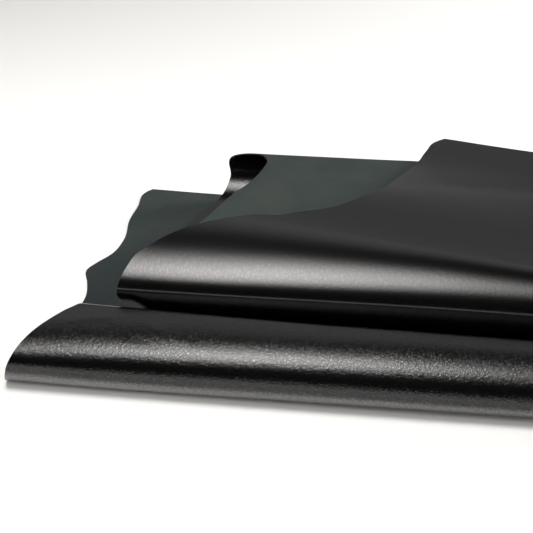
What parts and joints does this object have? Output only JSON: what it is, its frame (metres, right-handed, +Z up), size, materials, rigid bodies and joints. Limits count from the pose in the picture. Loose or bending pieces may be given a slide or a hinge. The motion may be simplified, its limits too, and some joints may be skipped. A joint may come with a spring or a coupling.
{
  "type": "folded leather hide",
  "caption": "Black calf hide with a glossy grain, folded back and forth in four layers: two round folds at the front, one at the back, and uneven cut edges.",
  "frame": {"origin": "on the surface it lies on, under the middle of the folded hide", "axes": "+X along the folds, -Y towards the two front folds, +Z up"},
  "size_m": [0.8784, 0.4726, 0.0851],
  "materials": {
    "leather": "glossy boarded grain outside, dark grey-green napped flesh inside"
  },
  "bodies": {
    "root": {"hide": "leather"}
  },
  "joints": []
}
